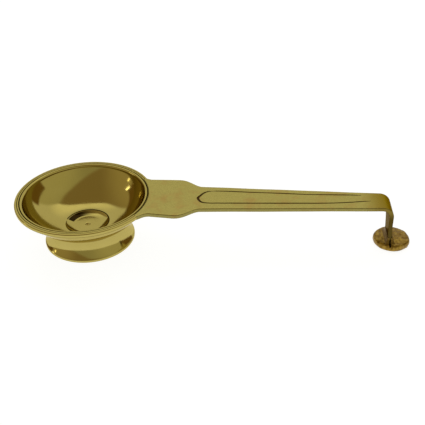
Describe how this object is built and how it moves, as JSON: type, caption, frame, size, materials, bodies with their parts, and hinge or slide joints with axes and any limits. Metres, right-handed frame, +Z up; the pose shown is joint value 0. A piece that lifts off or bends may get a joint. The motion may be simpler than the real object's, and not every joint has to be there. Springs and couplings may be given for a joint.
{
  "type": "diya oil lamp",
  "caption": "Hand-held brass diya: a turned oil cup on a flared foot ring, with a flat tapering handle bent down to a small round rest foot.",
  "frame": {"origin": "centre of the bounding box on the surface the lamp stands on", "axes": "+X runs along the lamp from the cup towards the rest foot, +Z is up, +Y completes a right-handed frame"},
  "size_m": [0.1954, 0.068, 0.0248],
  "materials": {
    "polished_brass": "turned and polished",
    "satin_brass": "filed and buffed to a satin",
    "cast_brass": "rough as cast, darkened",
    "brass_solder": "dull brazing filler"
  },
  "bodies": {
    "root": {"oil_cup": "polished_brass", "foot_ring": "polished_brass", "foot_ring_solder": "brass_solder", "handle": "satin_brass", "handle_solder": "brass_solder", "rest_foot": "cast_brass", "leg_solder": "brass_solder"}
  },
  "joints": []
}
